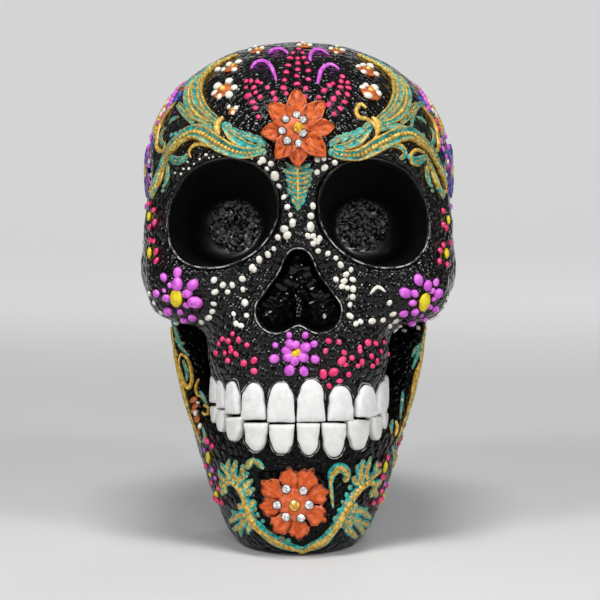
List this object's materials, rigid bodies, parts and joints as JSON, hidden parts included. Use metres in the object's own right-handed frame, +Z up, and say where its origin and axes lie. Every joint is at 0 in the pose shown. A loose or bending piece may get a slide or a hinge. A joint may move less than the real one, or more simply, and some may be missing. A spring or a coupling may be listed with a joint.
{
  "type": "sugar skull figurine",
  "caption": "Glossy black skull figurine with white teeth, raised painted flowers, leaf scrolls and glued flat-back gems, standing on the flat sole of its jaw.",
  "frame": {"origin": "on the flat sole of the lower jaw, in the skull's middle plane, below the hinge end of the jaw", "axes": "+Z up, -Y the way the face looks, +X to the right as seen from the front"},
  "size_m": [0.1192, 0.1465, 0.1811],
  "materials": {
    "black_gloss": "cast resin, black gloss paint over a fine pebbled texture",
    "tooth_white": "satin white paint",
    "orange_paint": "satin burnt orange paint with brown wash in the creases",
    "teal_gold": "teal paint with gold rims and veins",
    "violet_paint": "gloss violet dimensional paint",
    "pink_paint": "gloss pink dimensional paint",
    "blue_paint": "gloss blue paint",
    "cream_paint": "cream and orange dimensional paint",
    "clear_stone": "faceted clear flat-back stone with a foiled back",
    "amber_stone": "faceted amber flat-back stone with a foiled back"
  },
  "bodies": {
    "root": {"cranium": "black_gloss", "mandible": "black_gloss", "upper_tooth_row": "tooth_white", "lower_tooth_row": "tooth_white", "forehead_flower": "orange_paint", "forehead_centre_gem": "amber_stone", "forehead_gem_1": "clear_stone", "forehead_gem_2": "clear_stone", "forehead_gem_3": "clear_stone", "forehead_gem_4": "clear_stone", "forehead_gem_5": "clear_stone", "forehead_gem_6": "clear_stone", "forehead_gem_7": "clear_stone", "chin_flower": "orange_paint", "chin_centre_gem": "amber_stone", "chin_gem_1": "clear_stone", "chin_gem_2": "clear_stone", "chin_gem_3": "clear_stone", "chin_gem_4": "clear_stone", "chin_gem_5": "clear_stone", "chin_gem_6": "clear_stone", "forehead_leaf": "teal_gold", "brow_scroll_left": "teal_gold", "chin_scroll_left": "teal_gold", "jaw_scroll_left": "teal_gold", "side_scroll_left": "teal_gold", "back_scroll_left": "teal_gold", "cheek_flower_left": "violet_paint", "temple_flower_upper_left": "pink_paint", "temple_flower_lower_left": "pink_paint", "jaw_daisy_left": "cream_paint", "side_flower_left": "blue_paint", "brow_scroll_right": "teal_gold", "chin_scroll_right": "teal_gold", "jaw_scroll_right": "teal_gold", "side_scroll_right": "teal_gold", "back_scroll_right": "teal_gold", "cheek_flower_right": "violet_paint", "temple_flower_upper_right": "pink_paint", "temple_flower_lower_right": "pink_paint", "jaw_daisy_right": "cream_paint", "side_flower_right": "blue_paint", "lip_flower": "violet_paint", "back_flower": "orange_paint", "crown_daisy_1": "cream_paint", "crown_daisy_2": "cream_paint", "crown_daisy_3": "cream_paint", "crown_daisy_4": "cream_paint", "crown_daisy_5": "cream_paint", "crown_daisy_6": "cream_paint", "crown_daisy_7": "cream_paint", "crown_daisy_8": "cream_paint", "crown_comma_1": "violet_paint", "crown_comma_2": "violet_paint", "crown_comma_3": "violet_paint", "crown_comma_4": "violet_paint"}
  },
  "joints": []
}
